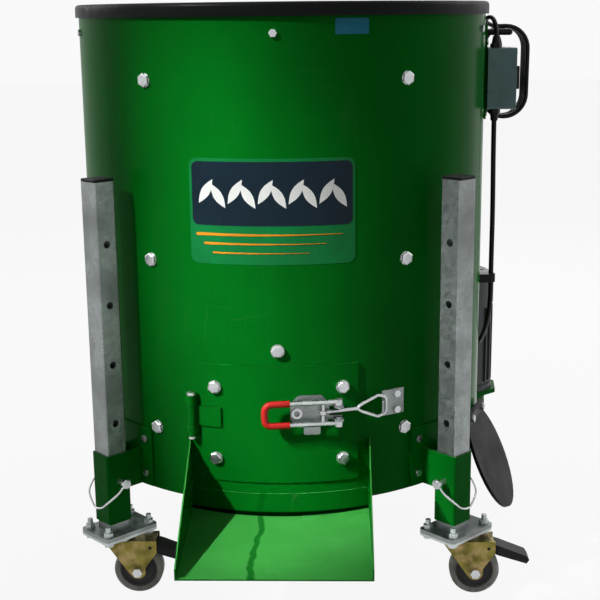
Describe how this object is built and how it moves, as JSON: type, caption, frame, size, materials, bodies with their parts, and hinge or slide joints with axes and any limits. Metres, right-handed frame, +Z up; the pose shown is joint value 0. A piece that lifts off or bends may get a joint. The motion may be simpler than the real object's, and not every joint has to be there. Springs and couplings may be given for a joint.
{
  "type": "walnut huller",
  "caption": "Upright green drum that strips green husks from walnuts with a spinning disc; front door over a chute, adjustable legs on casters, belt drive and switch box.",
  "frame": {"origin": "on the floor under the drum's axis", "axes": "+Z up, door and chute towards -Y, switch box towards +X"},
  "size_m": [0.7223, 0.897, 0.881],
  "materials": {
    "green_paint": "glossy enamel",
    "zinc": "galvanised",
    "black_rubber": "satin",
    "bare_steel": "rolled",
    "cast_iron": "as cast",
    "motor_grey": "satin paint",
    "grey_plastic": "moulded",
    "black_plastic": "moulded",
    "red_dip": "dipped",
    "yellow_chromate": "yellow passivated",
    "grey_tyre": "soft rubber"
  },
  "bodies": {
    "drum": {"drum_shell": "green_paint", "base_plate": "green_paint", "rim_trim": "black_rubber", "frame_fasteners": "zinc", "liner_bars": "bare_steel", "liner_bolts": "zinc", "leg_sleeves": "green_paint", "chute": "green_paint", "hull_flap": "black_rubber", "bearing_housing": "cast_iron", "motor_bracket": "green_paint", "motor_body": "motor_grey", "motor_fan_cover": "motor_grey", "terminal_box": "motor_grey", "belt_guard": "green_paint", "v_belt": "black_rubber", "hinge_lugs": "green_paint", "hinge_pin": "zinc", "latch_keeper": "zinc", "switch_bracket": "green_paint", "switch_box": "grey_plastic", "switch_cover": "grey_plastic", "cable_fittings": "black_plastic", "motor_cable": "black_rubber", "power_lead": "black_rubber", "cord_coil": "black_rubber", "power_plug": "black_rubber"},
    "door": {"door_panel": "green_paint", "door_liner": "green_paint", "door_bolts": "zinc", "hinge_leaf": "green_paint", "latch_base": "zinc"},
    "lever": {"latch_lever": "zinc", "latch_grip": "red_dip"},
    "loop": {"latch_loop": "zinc"},
    "knob": {"switch_knob": "black_plastic"},
    "rotor": {"spindle": "bare_steel", "hulling_disc": "bare_steel", "driven_pulley": "cast_iron"},
    "motor_shaft": {"motor_pulley": "cast_iron"},
    "leg_left": {"leg_left": "zinc", "leg_cap_left": "black_plastic", "caster_plate_left": "zinc"},
    "caster_left": {"fork_left": "yellow_chromate"},
    "wheel_left": {"wheel_left": "grey_tyre"},
    "pin_left": {"lock_pin_left": "zinc"},
    "brake_left": {"brake_left": "black_plastic"},
    "leg_right": {"leg_right": "zinc", "leg_cap_right": "black_plastic", "caster_plate_right": "zinc"},
    "caster_right": {"fork_right": "yellow_chromate"},
    "wheel_right": {"wheel_right": "grey_tyre"},
    "pin_right": {"lock_pin_right": "zinc"},
    "brake_right": {"brake_right": "black_plastic"},
    "leg_rear": {"leg_rear": "zinc", "leg_cap_rear": "black_plastic", "caster_plate_rear": "zinc"},
    "caster_rear": {"fork_rear": "yellow_chromate"},
    "wheel_rear": {"wheel_rear": "grey_tyre"},
    "pin_rear": {"lock_pin_rear": "zinc"}
  },
  "joints": [
    {"name": "door_swing", "type": "hinge", "parent": "drum", "child": "door", "pos_m": [-0.12676, -0.30143, 0.3], "axis": [0, 0, -1], "range_deg": [0, 65]},
    {"name": "latch_lever_turn", "type": "hinge", "parent": "door", "child": "lever", "pos_m": [0.08607, -0.32503, 0.312], "axis": [0, 0, 1], "range_deg": [0, 150]},
    {"name": "latch_loop_turn", "type": "hinge", "parent": "lever", "child": "loop", "pos_m": [0.06387, -0.32512, 0.312], "axis": [0, 0, 1], "range_deg": [-150, 0]},
    {"name": "switch_turn", "type": "hinge", "parent": "drum", "child": "knob", "pos_m": [0.366, 0, 0.7625], "axis": [1, 0, 0], "range_deg": [0, 90]},
    {"name": "disc_spin", "type": "hinge", "parent": "drum", "child": "rotor", "pos_m": [0, 0, 0.2], "axis": [0, 0, 1], "continuous": true},
    {"name": "motor_spin", "type": "hinge", "parent": "drum", "child": "motor_shaft", "pos_m": [0.30868, 0.26833, 0.15], "axis": [0, 0, 1], "continuous": true},
    {"name": "leg_left_height", "type": "slide", "parent": "drum", "child": "leg_left", "axis": [0, 0, -1], "range_m": [0, 0.36]},
    {"name": "pin_left_push", "type": "slide", "parent": "drum", "child": "pin_left", "axis": [-0.7071, 0.7071, 0], "range_m": [0, 0.008]},
    {"name": "caster_left_swivel", "type": "hinge", "parent": "leg_left", "child": "caster_left", "pos_m": [-0.24961, -0.24961, 0.09], "axis": [0, 0, 1], "continuous": true},
    {"name": "wheel_left_spin", "type": "hinge", "parent": "caster_left", "child": "wheel_left", "pos_m": [-0.22161, -0.24961, 0.0375], "axis": [0, 1, 0], "continuous": true},
    {"name": "brake_left_press", "type": "hinge", "parent": "caster_left", "child": "brake_left", "pos_m": [-0.20161, -0.24961, 0.0767], "axis": [0, 1, 0], "range_deg": [0, 10]},
    {"name": "leg_right_height", "type": "slide", "parent": "drum", "child": "leg_right", "axis": [0, 0, -1], "range_m": [0, 0.36]},
    {"name": "pin_right_push", "type": "slide", "parent": "drum", "child": "pin_right", "axis": [0.7071, 0.7071, 0], "range_m": [0, 0.008]},
    {"name": "caster_right_swivel", "type": "hinge", "parent": "leg_right", "child": "caster_right", "pos_m": [0.26375, -0.24961, 0.09], "axis": [0, 0, 1], "continuous": true},
    {"name": "wheel_right_spin", "type": "hinge", "parent": "caster_right", "child": "wheel_right", "pos_m": [0.29175, -0.24961, 0.0375], "axis": [0, 1, 0], "continuous": true},
    {"name": "brake_right_press", "type": "hinge", "parent": "caster_right", "child": "brake_right", "pos_m": [0.31175, -0.24961, 0.0767], "axis": [0, 1, 0], "range_deg": [0, 10]},
    {"name": "leg_rear_height", "type": "slide", "parent": "drum", "child": "leg_rear", "axis": [0, 0, -1], "range_m": [0, 0.36]},
    {"name": "pin_rear_push", "type": "slide", "parent": "drum", "child": "pin_rear", "axis": [-1, 0, 0], "range_m": [0, 0.008]},
    {"name": "caster_rear_swivel", "type": "hinge", "parent": "leg_rear", "child": "caster_rear", "pos_m": [0, 0.363, 0.09], "axis": [0, 0, 1], "continuous": true},
    {"name": "wheel_rear_spin", "type": "hinge", "parent": "caster_rear", "child": "wheel_rear", "pos_m": [0.028, 0.363, 0.0375], "axis": [0, 1, 0], "continuous": true}
  ],
  "couplings": [
    {"joint": "latch_loop_turn", "follows": "latch_lever_turn", "ratio": -1},
    {"joint": "motor_spin", "follows": "disc_spin", "ratio": 4.3546}
  ]
}
